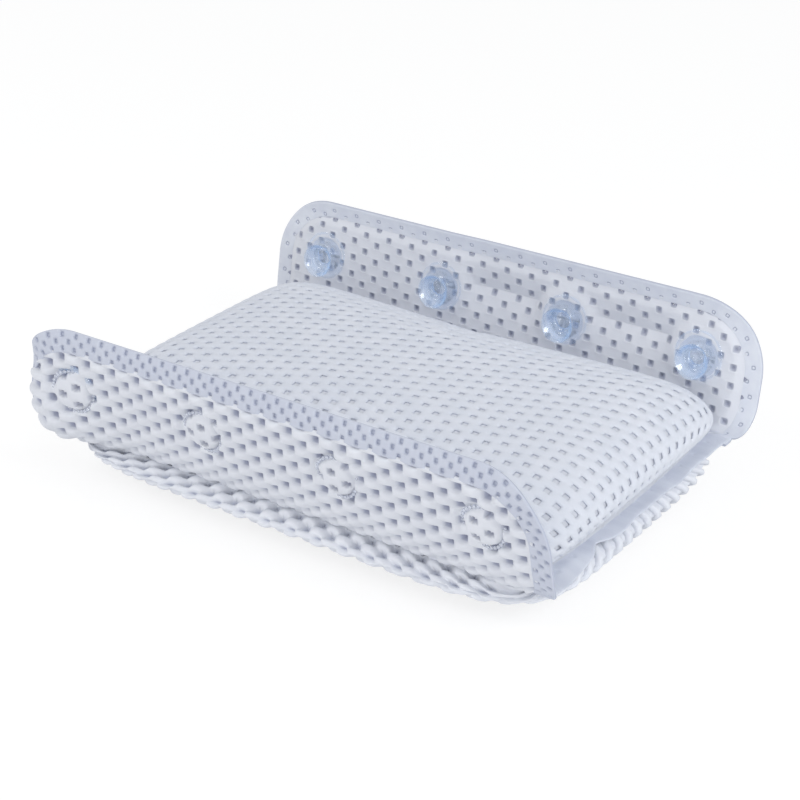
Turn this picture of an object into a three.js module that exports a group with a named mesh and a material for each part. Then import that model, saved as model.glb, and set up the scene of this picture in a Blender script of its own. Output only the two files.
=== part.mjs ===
// A bath pillow: a filled pad between two foam-mesh panels, with a suction-cup flap folded up
// along each long side. It lies on its cobbled face, as it does on a table.
// Millimetres. X runs along the pillow, Y from the front flap to the rear one, +Z up.
// The origin is the middle of the flat patch that the pillow rests on.
import * as THREE from "three";

// Overall sizes
const SHEET_LENGTH = 330; // length of a flap, end to end
const FLAP_HEIGHT = 76; // fold line to free edge, measured along the flap
const FOLD_SPACING = 196; // between the two fold lines
const FOLD_HEIGHT = 25; // fold lines above the rest face
const PILLOW_LENGTH = 310; // over the weld borders of the short sides
const CROWN_HEIGHT = 67; // highest point of the back panel
const CLEARANCE = 0.3; // gap between touching pieces

// Panels and filling of the pad
const FACE_THICKNESS = 5; // cobbled mesh of the face panel
const BACK_THICKNESS = 3; // flat mesh of the back panel
const RIM_SETBACK = 4.5; // panel rims stop this far inside the fold lines
const END_DRAW = 4; // how far the short sides are drawn in between the corners
const FACE_BULGE = 19; // how far the face swells out under the fold lines
const END_BULGE = 12; // how far it swells out under the short sides
const FLAT_SHARE = 1.2; // over 1 flattens the face where it rests
const CROWN_ALONG = [10, 0.35]; // fullness and power of the crown along X, see swell
const CROWN_ACROSS = [4.5, 0.35];
const FACE_ALONG = [9, 0.5];
const FACE_ACROSS = [4, 0.5];
const BULGE_FADE = [4, 0.5]; // the bulges die out towards the corners
const BULGE_POWER = 5; // odd, and larger keeps a bulge closer to its seam
const GRID_LONG = 22;
const GRID_DEEP = 16;

// Welded borders
const BORDER_WIDTH = 12.5;
const BORDER_THICKNESS = 2;
const WELD_THICKNESS = 1.8; // welded layers between the panel rims
const FOLD_BEAD_RADIUS = 2.2; // rolled edge that a flap folds about
const BEAD_SEGMENTS = 16;
const CORNER_RADIUS = 40; // free corners of a flap
const FOOT_RADIUS = 22; // rounding of a flap's ends down to the fold
const ARC_STEPS = 10;

// Suction cups, moulded in one with their welded base
const CUPS_PER_FLAP = 4;
const CUP_END_MARGIN = 37.5; // from a flap's end to the axis of its outermost cup
const CUP_SPACING = (SHEET_LENGTH - 2 * CUP_END_MARGIN) / (CUPS_PER_FLAP - 1);
const CUP_HEIGHT = 10;
const BASE_RADIUS = 14;
const BASE_THICKNESS = 1.2;
const NECK_RADIUS = 4.8;
const NECK_HEIGHT = 2.2;
const RIM_RADIUS = 10.5;
const RIM_WIDTH = 1.2;
const RIM_THICKNESS = 0.9;
const HOLLOW_DEPTH = 4.4;
const HOLLOW_STEPS = 4;
const BELL_SHOULDER = 0.62; // share of the bell's flare that is done at 0.38 of its height
const CUP_SIDES = 20;

// Flap section, from the fold up: a curved foot, a flat band for the cups, a curved tip
const FOOT_ARC = 24;
const SEAT_BAND = 2 * BASE_RADIUS + 5;
const FLAPS = [
  { name: "front", turn: Math.PI, footLean: 48, seatLean: 12, tipLean: -30 },
  { name: "rear", turn: 0, footLean: 28, seatLean: 10, tipLean: -17 },
];

// Open mesh of the flaps. It is drawn a quarter coarser than the real weave, to keep it light.
const MESH_THICKNESS = 5;
const MESH_COARSENING = 1.25;
const CELL_LENGTH = 16.5 * MESH_COARSENING;
const CELL_ROW = 5.2 * MESH_COARSENING;
const HOLE_LENGTH = 4.2 * MESH_COARSENING;
const HOLE_HEIGHT = 3.4 * MESH_COARSENING;
const MESH_RIM = 2; // solid edge left round the holes

// Ring of weld beads behind each cup, on the flap's outer face
const RING_OUTER_RADIUS = 13;
const RING_INNER_RADIUS = 10.4;
const RING_HEIGHT = 1;

const degrees = THREE.MathUtils.degToRad;

const meshFoam = new THREE.MeshStandardMaterial({ color: 0xdde1ea, roughness: 0.75, metalness: 0 });
const flatFoam = new THREE.MeshStandardMaterial({ color: 0xd3d9e8, roughness: 0.7, metalness: 0 });
const weldedVinyl = new THREE.MeshStandardMaterial({ color: 0xbec8dd, roughness: 0.5, metalness: 0 });
const fibre = new THREE.MeshStandardMaterial({ color: 0xeceef0, roughness: 0.95, metalness: 0 });
const clearVinyl = new THREE.MeshStandardMaterial({
  color: 0xa9c6ec,
  roughness: 0.12,
  metalness: 0,
  transparent: true,
  opacity: 0.55,
});

function named(name, geometry, material) {
  const mesh = new THREE.Mesh(geometry, material);
  mesh.name = name;
  return mesh;
}

// Closed solid between two faces that share one triangulation, with walls round every open edge.
// The triangles run anticlockwise seen from outside the upper face.
function solidBetween(upper, lower, triangles) {
  const count = upper.length;
  const edges = new Set();
  const key = (a, b) => a * count + b;
  for (const [a, b, c] of triangles) {
    edges.add(key(a, b));
    edges.add(key(b, c));
    edges.add(key(c, a));
  }
  const index = [];
  for (const [a, b, c] of triangles) {
    index.push(a, b, c);
    index.push(c + count, b + count, a + count);
    for (const [from, to] of [[a, b], [b, c], [c, a]]) {
      if (edges.has(key(to, from))) continue;
      index.push(to, from, from + count);
      index.push(to, from + count, to + count);
    }
  }
  const geometry = new THREE.BufferGeometry();
  geometry.setFromPoints([...upper, ...lower]);
  geometry.setIndex(index);
  geometry.computeVertexNormals();
  return geometry;
}

// Triangles of a grid of points, rows of across + 1 points each.
function gridTriangles(across, rows) {
  const triangles = [];
  for (let j = 0; j < rows; j++) {
    for (let i = 0; i < across; i++) {
      const a = j * (across + 1) + i;
      const b = a + across + 1;
      triangles.push([a, a + 1, b + 1], [a, b + 1, b]);
    }
  }
  return triangles;
}

// Points of the pad's grid, closer together towards the seams, where the panels curve most.
function padPoints(place) {
  const points = [];
  for (let j = 0; j <= GRID_DEEP; j++) {
    for (let i = 0; i <= GRID_LONG; i++) {
      const u = Math.sin((i / GRID_LONG - 0.5) * Math.PI);
      const v = Math.sin((j / GRID_DEEP - 0.5) * Math.PI);
      points.push(place(u, v));
    }
  }
  return points;
}

// 1 in the middle and 0 at the seam: a larger fullness keeps the top broad, a smaller power
// makes the side steeper.
function swell(share, [fullness, power]) {
  return Math.max(0, 1 - Math.abs(share) ** fullness) ** power;
}

const padDepth = FOLD_SPACING / 2 - RIM_SETBACK;
const rimGap = WELD_THICKNESS / 2 + CLEARANCE;

// Half the pad's length at a share v of its depth: the short sides are drawn in.
function padLength(v) {
  return PILLOW_LENGTH / 2 - BORDER_WIDTH - END_DRAW * (1 - v * v);
}

// Upper surface of the pad, moved in by a wall.
function crownPoint(u, v, wall, sideWall = wall) {
  const full = swell(u, CROWN_ALONG) * swell(v, CROWN_ACROSS);
  const rise = (CROWN_HEIGHT - wall - FOLD_HEIGHT - rimGap) * full;
  const x = u * (padLength(v) - sideWall);
  return new THREE.Vector3(x, v * (padDepth - sideWall), FOLD_HEIGHT + rimGap + rise);
}

// Lower surface of the pad: flat where it rests, swelling out under the fold lines.
function facePoint(u, v, wall) {
  const full = Math.min(1, FLAT_SHARE * swell(u, FACE_ALONG) * swell(v, FACE_ACROSS));
  const side = 4 * full * (1 - full);
  const endBulge = END_BULGE * side * u ** BULGE_POWER * swell(v, BULGE_FADE);
  const faceBulge = FACE_BULGE * side * v ** BULGE_POWER * swell(u, BULGE_FADE);
  const x = u * (padLength(v) - wall) + endBulge;
  const y = v * (padDepth - wall) + faceBulge;
  const drop = (FOLD_HEIGHT - rimGap - wall) * full;
  return new THREE.Vector3(x, y, FOLD_HEIGHT - rimGap - drop);
}

function buildBackPanel() {
  const upper = padPoints((u, v) => crownPoint(u, v, 0));
  const lower = padPoints((u, v) => crownPoint(u, v, BACK_THICKNESS));
  return solidBetween(upper, lower, gridTriangles(GRID_LONG, GRID_DEEP));
}

function buildFacePanel() {
  const upper = padPoints((u, v) => facePoint(u, v, FACE_THICKNESS));
  const lower = padPoints((u, v) => facePoint(u, v, 0));
  return solidBetween(upper, lower, gridTriangles(GRID_LONG, GRID_DEEP));
}

function buildFilling() {
  const faceWall = FACE_THICKNESS + CLEARANCE;
  const upper = padPoints((u, v) => crownPoint(u, v, BACK_THICKNESS + CLEARANCE, faceWall));
  const lower = padPoints((u, v) => facePoint(u, v, faceWall));
  return solidBetween(upper, lower, gridTriangles(GRID_LONG, GRID_DEEP));
}

// Weld border of a short side: its inner edge lies between the panel rims.
function buildSideWeld() {
  const reach = (padDepth - BACK_THICKNESS - CLEARANCE) / padDepth;
  const face = (z) => {
    const points = [];
    for (let j = 0; j <= GRID_DEEP; j++) {
      const v = reach * ((2 * j) / GRID_DEEP - 1);
      const inner = padLength(v) - BACK_THICKNESS;
      const outer = padLength(v) + BORDER_WIDTH;
      points.push(new THREE.Vector3(inner, v * padDepth, z), new THREE.Vector3(outer, v * padDepth, z));
    }
    return points;
  };
  const half = WELD_THICKNESS / 2;
  return solidBetween(face(FOLD_HEIGHT + half), face(FOLD_HEIGHT - half), gridTriangles(1, GRID_DEEP));
}

// Weld along a fold line: a flat tongue between the panel rims, ending in the rolled bead that the
// flap folds about. The section is drawn outwards from the fold line and swept along X.
function buildFoldWeld() {
  const half = WELD_THICKNESS / 2;
  const tongue = -(RIM_SETBACK + BACK_THICKNESS);
  const start = Math.PI - Math.asin(half / FOLD_BEAD_RADIUS);
  const section = new THREE.Shape();
  section.moveTo(tongue, -half);
  section.absarc(0, 0, FOLD_BEAD_RADIUS, -start, start, false);
  section.lineTo(tongue, half);
  const sweep = { depth: PILLOW_LENGTH, bevelEnabled: false, curveSegments: BEAD_SEGMENTS };
  const geometry = new THREE.ExtrudeGeometry(section, sweep);
  geometry.translate(0, 0, -PILLOW_LENGTH / 2);
  const along = new THREE.Vector3(1, 0, 0);
  const outward = new THREE.Vector3(0, 1, 0);
  const upward = new THREE.Vector3(0, 0, 1);
  return geometry.applyMatrix4(new THREE.Matrix4().makeBasis(outward, upward, along));
}

// The flap's middle surface at s millimetres from the fold: offset outwards, rise and lean.
function flapSection(flap, s) {
  const stretches = [
    [FOOT_ARC, flap.footLean, flap.seatLean],
    [SEAT_BAND, flap.seatLean, flap.seatLean],
    [FLAP_HEIGHT - FOOT_ARC - SEAT_BAND, flap.seatLean, flap.tipLean],
  ];
  let out = 0;
  let rise = 0;
  let lean = degrees(flap.footLean);
  let rest = s;
  for (const [length, from, to] of stretches) {
    const run = Math.min(rest, length);
    const turn = (degrees(to - from) * run) / length;
    const end = lean + turn;
    if (turn === 0) {
      out += run * Math.sin(lean);
      rise += run * Math.cos(lean);
    } else {
      out += (run / turn) * (Math.cos(lean) - Math.cos(end));
      rise += (run / turn) * (Math.sin(end) - Math.sin(lean));
    }
    lean = end;
    rest -= run;
  }
  return { out, rise, lean };
}

// A point of the flap in the flap's own frame: the fold line is X, outwards is +Y.
function flapPoint(flap, x, s, outwards) {
  const { out, rise, lean } = flapSection(flap, s);
  return new THREE.Vector3(x, out + outwards * Math.cos(lean), rise - outwards * Math.sin(lean));
}

// Half the flap's length at s from the fold, moved in from the outline by an inset.
function flapHalfLength(s, inset) {
  const half = SHEET_LENGTH / 2 - inset;
  const foot = Math.max(0, FOOT_RADIUS - s) / FOOT_RADIUS;
  const footIn = ((SHEET_LENGTH - PILLOW_LENGTH) / 2) * (1 - Math.sqrt(1 - foot * foot));
  const above = Math.max(0, s - (FLAP_HEIGHT - CORNER_RADIUS));
  const radius = CORNER_RADIUS - inset;
  const cornerIn = radius - Math.sqrt(Math.max(0, radius * radius - above * above));
  return half - footIn - cornerIn;
}

const sheetStart = FOLD_BEAD_RADIUS + CLEARANCE;

// Lines of the flap's mesh from the fold to the border: each has its height and the x of every
// corner on it, in pairs that open and close a hole.
function meshLines() {
  const inset = BORDER_WIDTH + CLEARANCE;
  const end = FLAP_HEIGHT - inset;
  const room = end - sheetStart - 2 * MESH_RIM - HOLE_HEIGHT;
  const rows = Math.floor(room / CELL_ROW) + 1;
  const first = (sheetStart + end - (rows - 1) * CELL_ROW) / 2;
  const line = (s, holes) => {
    const half = flapHalfLength(s, inset);
    const corners = holes.flatMap((x) => [x - HOLE_LENGTH / 2, x + HOLE_LENGTH / 2]);
    return { s, corners: [-half, ...corners, half] };
  };
  const lines = [line(sheetStart, [])];
  for (let row = 0; row < rows; row++) {
    const low = first + row * CELL_ROW - HOLE_HEIGHT / 2;
    const high = low + HOLE_HEIGHT;
    const narrowest = Math.min(flapHalfLength(low, inset), flapHalfLength(high, inset));
    const reach = narrowest - MESH_RIM - HOLE_LENGTH / 2;
    const shift = row % 2 ? CELL_LENGTH / 2 : 0;
    const holes = [];
    for (let k = -Math.ceil(reach / CELL_LENGTH); k * CELL_LENGTH + shift <= reach; k++) {
      const x = k * CELL_LENGTH + shift;
      if (x >= -reach) holes.push(x);
    }
    lines.push(line(low, holes), line(high, holes));
  }
  lines.push(line(end, []));
  return lines;
}

// Triangles between two lines of corners that both run towards +X.
function bandTriangles(low, high, lowStart, highStart) {
  const triangles = [];
  let i = 0;
  let j = 0;
  while (i < low.length - 1 || j < high.length - 1) {
    const stepLow = j === high.length - 1 || (i < low.length - 1 && low[i + 1] < high[j + 1]);
    if (stepLow) {
      triangles.push([lowStart + i, lowStart + i + 1, highStart + j]);
      i += 1;
    } else {
      triangles.push([lowStart + i, highStart + j + 1, highStart + j]);
      j += 1;
    }
  }
  return triangles;
}

// The flap's foam mesh: staggered rows of square holes through one curved sheet.
function buildFlapSheet(flap) {
  const lines = meshLines();
  const starts = [0];
  for (const line of lines) starts.push(starts.at(-1) + line.corners.length);
  const triangles = [];
  for (let row = 0; row < lines.length - 1; row++) {
    const low = lines[row].corners;
    const high = lines[row + 1].corners;
    const holeBand = row % 2 === 1;
    if (!holeBand) {
      triangles.push(...bandTriangles(low, high, starts[row], starts[row + 1]));
      continue;
    }
    for (let k = 0; k < low.length; k += 2) {
      const a = starts[row] + k;
      const b = starts[row + 1] + k;
      triangles.push([a, a + 1, b + 1], [a, b + 1, b]);
    }
  }
  const linePoints = (line, outwards) => line.corners.map((x) => flapPoint(flap, x, line.s, outwards));
  const face = (outwards) => lines.flatMap((line) => linePoints(line, outwards));
  return solidBetween(face(-MESH_THICKNESS / 2), face(MESH_THICKNESS / 2), triangles);
}

// Outline of a flap's left half as pairs of an outer and an inner point, from the fold to the top.
function borderPairs() {
  const pairs = [];
  const bend = FLAP_HEIGHT - CORNER_RADIUS;
  const pairAt = (s) => [
    [-flapHalfLength(s, 0), s],
    [-flapHalfLength(s, BORDER_WIDTH), s],
  ];
  for (let k = 0; k <= ARC_STEPS; k++) {
    const share = Math.sin((k / ARC_STEPS) * (Math.PI / 2));
    pairs.push(pairAt(sheetStart + (FOOT_RADIUS - sheetStart) * share));
  }
  const centre = SHEET_LENGTH / 2 - CORNER_RADIUS;
  for (let k = 0; k <= ARC_STEPS; k++) {
    const angle = (k / ARC_STEPS) * (Math.PI / 2);
    const around = (radius) => [-centre - radius * Math.cos(angle), bend + radius * Math.sin(angle)];
    pairs.push([around(CORNER_RADIUS), around(CORNER_RADIUS - BORDER_WIDTH)]);
  }
  return pairs;
}

// The pressed border round a flap's two ends and free edge.
function buildFlapBorder(flap) {
  const left = borderPairs();
  const right = left.map((pair) => pair.map(([x, s]) => [-x, s])).reverse();
  const pairs = [...left, ...right];
  const face = (outwards) => pairs.flat().map(([x, s]) => flapPoint(flap, x, s, outwards));
  const half = BORDER_THICKNESS / 2;
  return solidBetween(face(-half), face(half), gridTriangles(1, pairs.length - 1));
}

// A suction cup: welded base, neck and bell, turned about its axis. The base lies at height 0.
function buildCup() {
  const bellStart = BASE_THICKNESS + NECK_HEIGHT;
  const bell = CUP_HEIGHT - RIM_THICKNESS - bellStart;
  const profile = [
    [0, 0],
    [BASE_RADIUS, 0],
    [BASE_RADIUS, BASE_THICKNESS],
    [NECK_RADIUS, BASE_THICKNESS],
    [NECK_RADIUS, bellStart],
  ];
  const shoulder = NECK_RADIUS + (RIM_RADIUS - NECK_RADIUS) * BELL_SHOULDER;
  profile.push([shoulder, bellStart + bell * (1 - BELL_SHOULDER)]);
  profile.push([RIM_RADIUS, CUP_HEIGHT - RIM_THICKNESS], [RIM_RADIUS, CUP_HEIGHT]);
  for (let k = 0; k <= HOLLOW_STEPS; k++) {
    const share = k / HOLLOW_STEPS;
    const radius = (RIM_RADIUS - RIM_WIDTH) * (1 - share);
    profile.push([radius, CUP_HEIGHT - HOLLOW_DEPTH * Math.sin((share * Math.PI) / 2)]);
  }
  return turned(profile);
}

// The ring of weld beads, a low rounded hoop.
function buildWeldRing() {
  const shoulder = RING_HEIGHT / 2;
  return turned([
    [RING_INNER_RADIUS, 0],
    [RING_OUTER_RADIUS, 0],
    [RING_OUTER_RADIUS - shoulder, RING_HEIGHT],
    [RING_INNER_RADIUS + shoulder, RING_HEIGHT],
    [RING_INNER_RADIUS, 0],
  ]);
}

// Revolves a profile of radius and height about +Z.
function turned(profile) {
  const points = profile.map(([radius, height]) => new THREE.Vector2(radius, height));
  return new THREE.LatheGeometry(points, CUP_SIDES).rotateX(Math.PI / 2);
}

// Places a turned piece on the flap's cup band, standing off to the inside or the outside.
function seatOnFlap(mesh, flap, x, inside) {
  const away = MESH_THICKNESS / 2 + CLEARANCE;
  const seat = FOOT_ARC + SEAT_BAND / 2;
  const { lean } = flapSection(flap, seat);
  mesh.position.copy(flapPoint(flap, x, seat, inside ? -away : away));
  mesh.rotation.x = inside ? Math.PI / 2 - lean : -Math.PI / 2 - lean;
  return mesh;
}

function buildFlap(flap) {
  const group = new THREE.Group();
  group.position.set(0, (Math.cos(flap.turn) * FOLD_SPACING) / 2, FOLD_HEIGHT);
  group.rotation.z = flap.turn;
  group.add(named(flap.name + "_flap_sheet", buildFlapSheet(flap), meshFoam));
  group.add(named(flap.name + "_flap_border", buildFlapBorder(flap), weldedVinyl));
  for (let k = 0; k < CUPS_PER_FLAP; k++) {
    const along = (k - (CUPS_PER_FLAP - 1) / 2) * CUP_SPACING;
    const x = along * Math.cos(flap.turn);
    const cup = named(flap.name + "_cup_" + (k + 1), buildCup(), clearVinyl);
    const ring = named(flap.name + "_weld_ring_" + (k + 1), buildWeldRing(), clearVinyl);
    group.add(seatOnFlap(cup, flap, x, true));
    group.add(seatOnFlap(ring, flap, x, false));
  }
  return group;
}

function buildPad() {
  const pad = new THREE.Group();
  pad.add(named("back_panel", buildBackPanel(), flatFoam));
  pad.add(named("face_panel", buildFacePanel(), meshFoam));
  pad.add(named("filling_pad", buildFilling(), fibre));
  for (const [side, turn] of [["right", 0], ["left", Math.PI]]) {
    const weld = named(side + "_side_weld", buildSideWeld(), weldedVinyl);
    weld.rotation.z = turn;
    pad.add(weld);
  }
  for (const flap of FLAPS) {
    const weld = named(flap.name + "_fold_weld", buildFoldWeld(), weldedVinyl);
    weld.position.set(0, (Math.cos(flap.turn) * FOLD_SPACING) / 2, FOLD_HEIGHT);
    weld.rotation.z = flap.turn;
    pad.add(weld);
  }
  return pad;
}

const bathPillow = new THREE.Group();
bathPillow.add(buildPad());
for (const flap of FLAPS) bathPillow.add(buildFlap(flap));

export default bathPillow;
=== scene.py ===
# %% [markdown]
# A bath pillow in foam mesh.
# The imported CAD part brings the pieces, their places and the two flap joints, and it stays fixed.
# This lesson makes new pieces over it that look like the real thing: foam mesh with true holes,
# pressed borders and clear suction cups. Lengths are metres: X runs along the pillow, Y from the
# front flap to the rear flap, and Z up.

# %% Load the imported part
import math

import bpy
import numpy as np
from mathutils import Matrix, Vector


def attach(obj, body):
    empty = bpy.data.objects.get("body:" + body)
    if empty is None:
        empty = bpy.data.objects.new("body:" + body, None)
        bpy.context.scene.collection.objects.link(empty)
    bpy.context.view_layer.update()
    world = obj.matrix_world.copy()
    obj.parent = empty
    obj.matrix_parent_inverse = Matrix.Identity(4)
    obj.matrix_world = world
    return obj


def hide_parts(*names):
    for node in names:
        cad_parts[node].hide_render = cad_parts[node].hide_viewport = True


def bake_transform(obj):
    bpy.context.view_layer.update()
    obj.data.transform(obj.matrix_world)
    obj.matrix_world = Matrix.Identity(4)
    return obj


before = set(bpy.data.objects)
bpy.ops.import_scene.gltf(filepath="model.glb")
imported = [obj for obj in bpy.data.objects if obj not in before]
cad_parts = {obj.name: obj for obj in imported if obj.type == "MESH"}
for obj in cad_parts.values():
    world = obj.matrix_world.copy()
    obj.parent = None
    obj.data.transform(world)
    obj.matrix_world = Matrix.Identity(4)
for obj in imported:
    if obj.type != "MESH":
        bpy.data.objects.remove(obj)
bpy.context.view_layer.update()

# %% [markdown]
# The sizes below are those of the CAD source, so every new piece lands on the solid it stands for.
# A flap is measured from its fold line up, along the flap, and leans out at its foot. Its free ends
# are soft: the lean at foot, seat and tip is in degrees, and so is the curl at its two ends. Grow is
# how much further an end reaches, crease and flare are how far the sheet stands out, and border is
# the width that is pressed flat. Points closer than SNAP count as one place.

# %% Sizes of the pillow
MM = 0.001
SNAP = 0.05 * MM
SHEET_LENGTH = 330 * MM
FLAP_HEIGHT = 76 * MM
FOLD_SPACING = 196 * MM
FOLD_HEIGHT = 25 * MM
PILLOW_LENGTH = 310 * MM
CROWN_HEIGHT = 67 * MM
BORDER_WIDTH = 12.5 * MM
CORNER_RADIUS = 40 * MM
FOOT_RADIUS = 22 * MM
CUP_SPACING = 85 * MM
CUP_SEAT = 40.5 * MM
CUP_PLACES = [(k - 1.5) * CUP_SPACING for k in range(4)]
FLAPS = {
    "front": {
        "side": -1, "lean": (48, 12, -30), "curl": (55, -8), "grow": (5 * MM, 0),
        "crease": 0, "flare": 9 * MM, "border": 12.5 * MM,
    },
    "rear": {
        "side": 1, "lean": (28, 10, -17), "curl": (0, 0), "grow": (0, 0),
        "crease": 6 * MM, "flare": 0, "border": 10.5 * MM,
    },
}
print("sheet", SHEET_LENGTH, "by", FLAP_HEIGHT, "with cups at", [round(x, 4) for x in CUP_PLACES])

# %% [markdown]
# Every piece is modelled as by hand, so a few small tools come first. One selects a single object,
# and one enters edit mode with just the points or faces selected whose place is wanted.

# %% Tools for selecting
def only(piece):
    bpy.ops.object.select_all(action="DESELECT")
    piece.select_set(True)
    bpy.context.view_layer.objects.active = piece


def pick(piece, wanted, kind="VERT"):
    only(piece)
    bpy.ops.object.mode_set(mode="EDIT")
    bpy.ops.mesh.select_mode(type=kind)
    bpy.ops.mesh.select_all(action="DESELECT")
    bpy.ops.object.mode_set(mode="OBJECT")
    if kind == "VERT":
        items = piece.data.vertices
        places = [item.co for item in items]
    else:
        items = piece.data.polygons
        places = [item.center for item in items]
    flags = [bool(wanted(x, y, z)) for x, y, z in places]
    items.foreach_set("select", flags)
    bpy.ops.object.mode_set(mode="EDIT")
    return sum(flags)


def everything(x, y, z):
    return True


def select_all():
    bpy.ops.mesh.select_all(action="SELECT")


def leave():
    bpy.ops.object.mode_set(mode="OBJECT")


bpy.ops.object.select_all(action="DESELECT")
print("tools ready")

# %% [markdown]
# Flat work comes next: a plate cut along straight lines, a plate that gets its depth by extruding,
# faces that are cut away or pressed in, points that are shifted or merged, and a Subdivision Surface
# that softens the result. A finished flat piece is laid on its curved place by moving its points, the
# way cloth is laid on a form. A ramp goes softly from 0 to 1, from its start on for the length of its
# run, both in millimetres.

# %% Tools for flat work
def cut_plate(length, width, x_cuts, y_cuts):
    bpy.ops.mesh.primitive_plane_add(size=1, location=(0, 0, 0))
    plate = bpy.context.object
    bpy.ops.object.mode_set(mode="EDIT")
    select_all()
    bpy.ops.transform.resize(value=(length, width, 1))
    for x in x_cuts:
        select_all()
        bpy.ops.mesh.bisect(plane_co=(x, 0, 0), plane_no=(1, 0, 0), threshold=1e-6)
    for y in y_cuts:
        select_all()
        bpy.ops.mesh.bisect(plane_co=(0, y, 0), plane_no=(0, 1, 0), threshold=1e-6)
    leave()
    return plate


def face_outwards():
    select_all()
    bpy.ops.mesh.normals_make_consistent(inside=False)
    leave()


def extrude(step):
    bpy.ops.mesh.extrude_region_move(TRANSFORM_OT_translate={"value": step})


def give_depth(piece, depth):
    pick(piece, everything, "FACE")
    extrude((0, 0, depth))
    face_outwards()


def cut_away(piece, outside):
    pick(piece, outside, "FACE")
    bpy.ops.mesh.delete(type="FACE")
    leave()


def shift(piece, wanted, offset):
    if pick(piece, wanted):
        bpy.ops.transform.translate(value=offset)
    leave()


def merge_points(piece, reach):
    pick(piece, everything)
    bpy.ops.mesh.remove_doubles(threshold=reach)
    leave()


def press_in(piece, wanted, rim, depth):
    pick(piece, wanted, "FACE")
    bpy.ops.mesh.inset(thickness=rim, use_even_offset=True)
    bpy.ops.transform.translate(value=(0, 0, depth))
    leave()


def soften(piece, levels):
    only(piece)
    soft = piece.modifiers.new("soften", "SUBSURF")
    soft.levels = levels
    soft.render_levels = levels
    bpy.ops.object.modifier_apply(modifier=soft.name)
    bpy.ops.object.shade_smooth()


def read_points(mesh):
    flat = np.empty(len(mesh.vertices) * 3)
    mesh.vertices.foreach_get("co", flat)
    return flat.reshape(-1, 3)


def write_points(mesh, points):
    mesh.vertices.foreach_set("co", np.ascontiguousarray(points).ravel())
    mesh.update()


def lay_on(piece, place):
    x, y, h = read_points(piece.data).T
    write_points(piece.data, place(x, y, h))
    return h


def ease(value):
    share = np.clip(value, 0, 1)
    return share * share * (3 - 2 * share)


def ramp(value, start, run):
    return ease((value - start * MM) / (run * MM))


print("ramp over 10 mm", [float(ramp(v * MM, 0, 10)) for v in (0, 5, 10)])

# %% [markdown]
# Foam mesh is a net of soft bars with a hole between them, and every second row is shifted by half
# a step. One tile of it is a flat plate, cut along a few lines, with the middle faces taken out.
# Raising its points makes the bar on either side of the hole swell. This could be a displacement
# of a fine grid instead, but a tile with few faces is lighter and shows how the net is built.

# %% Model one tile of foam mesh
def tile_lines(length, hole, lip):
    bar = (length - hole) / 2
    return (0, hole / 2, hole / 2 + lip, bar - lip, bar, length / 2)


def model_tile(net):
    cuts = [sorted({v for line in net[axis][:-1] for v in (line, -line)}) for axis in "xy"]
    tile = cut_plate(2 * net["x"][-1], 2 * net["y"][-1], *cuts)
    hole_x, hole_y = net["x"][1], net["y"][1]
    cut_away(tile, lambda x, y, z: abs(x) < hole_x and abs(y) < hole_y)
    for y_line, levels in zip(net["y"], net["heights"]):
        for x_line, level in zip(net["x"], levels):
            shift(
                tile,
                lambda x, y, z: abs(abs(x) - x_line) < SNAP and abs(abs(y) - y_line) < SNAP,
                (0, 0, level * MM),
            )
    return tile


print("lines of a tile with a hole", tile_lines(length=16, hole=4, lip=1))

# %% [markdown]
# A tile and its shifted neighbour make a pair, and two Array modifiers repeat the pair into a
# sheet. The points where tiles meet are merged, faces outside the cut are taken away, and
# extruding what is left gives the sheet its thickness, with walls round every hole. Each new layer
# is scaled to a share of its height and moved down, so the inner side comes out nearly flat.

# %% Repeat a tile into a sheet
def repeat(piece, steps):
    only(piece)
    for count, step in steps:
        array = piece.modifiers.new("repeat", "ARRAY")
        array.use_relative_offset = False
        array.use_constant_offset = True
        array.constant_offset_displace = step
        array.count = count
        bpy.ops.object.modifier_apply(modifier=array.name)
    merge_points(piece, SNAP)


def weave(net, columns, rows, first_row):
    length, row = 2 * net["x"][-1], 2 * net["y"][-1]
    sheet = model_tile(net)
    pick(sheet, everything)
    bpy.ops.mesh.duplicate_move(TRANSFORM_OT_translate={"value": (length / 2, row, 0)})
    leave()
    pairs = math.ceil(rows / 2)
    repeat(sheet, [(columns + 1, (length, 0, 0)), (pairs, (0, 2 * row, 0))])
    shift(sheet, everything, (-length * columns / 2, first_row + row / 2, 0))
    return sheet


def thicken(piece, walls):
    pick(piece, everything, "FACE")
    for share, drop in walls:
        extrude((0, 0, 0))
        bpy.ops.transform.resize(value=(1, 1, share), center_override=(0, 0, 0))
        bpy.ops.transform.translate(value=(0, 0, drop))
    face_outwards()
    bpy.ops.object.shade_smooth()


print("weaving tools ready")

# %% [markdown]
# The bars of the net are round, so halfway down a hole is narrower than at its mouths. Points on
# its walls are drawn in towards the middle of the hole, all the way where a weld has pressed the
# hole shut. Tall cobbles lean over, so that each covers part of the next hole. An attribute marks
# how deep in the hole each point lies, and the shader paints shade there by darkening the colour.

# %% Round the bars of a net
def draw_in(net, columns, first_row, x, y, share):
    length, row = 2 * net["x"][-1], 2 * net["y"][-1]
    line = np.floor((y - first_row) / row)
    shift = np.where(line % 2 == 0, 0, length / 2) - length * columns / 2
    off_x = x - np.round((x - shift) / length) * length - shift
    off_y = y - first_row - (line + 0.5) * row
    near = 0.3 * MM
    in_hole = (np.abs(off_x) < net["x"][1] + near) & (np.abs(off_y) < net["y"][1] + near)
    return x - off_x * share * in_hole, y - off_y * share * in_hole


def between(h, levels):
    top, full_top, full_low, low = [level * MM for level in levels]
    return ease((top - h) / (top - full_top)) * ease((h - low) / (full_low - low))


def lean_over(net, h):
    foot, run = 1 * MM, 4 * MM
    return net["lean"] * np.clip((h - foot) / run, 0, 1)


# Painted shade: the attribute darkens the colour of points deep in a hole or dent, where shade falls.
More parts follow.
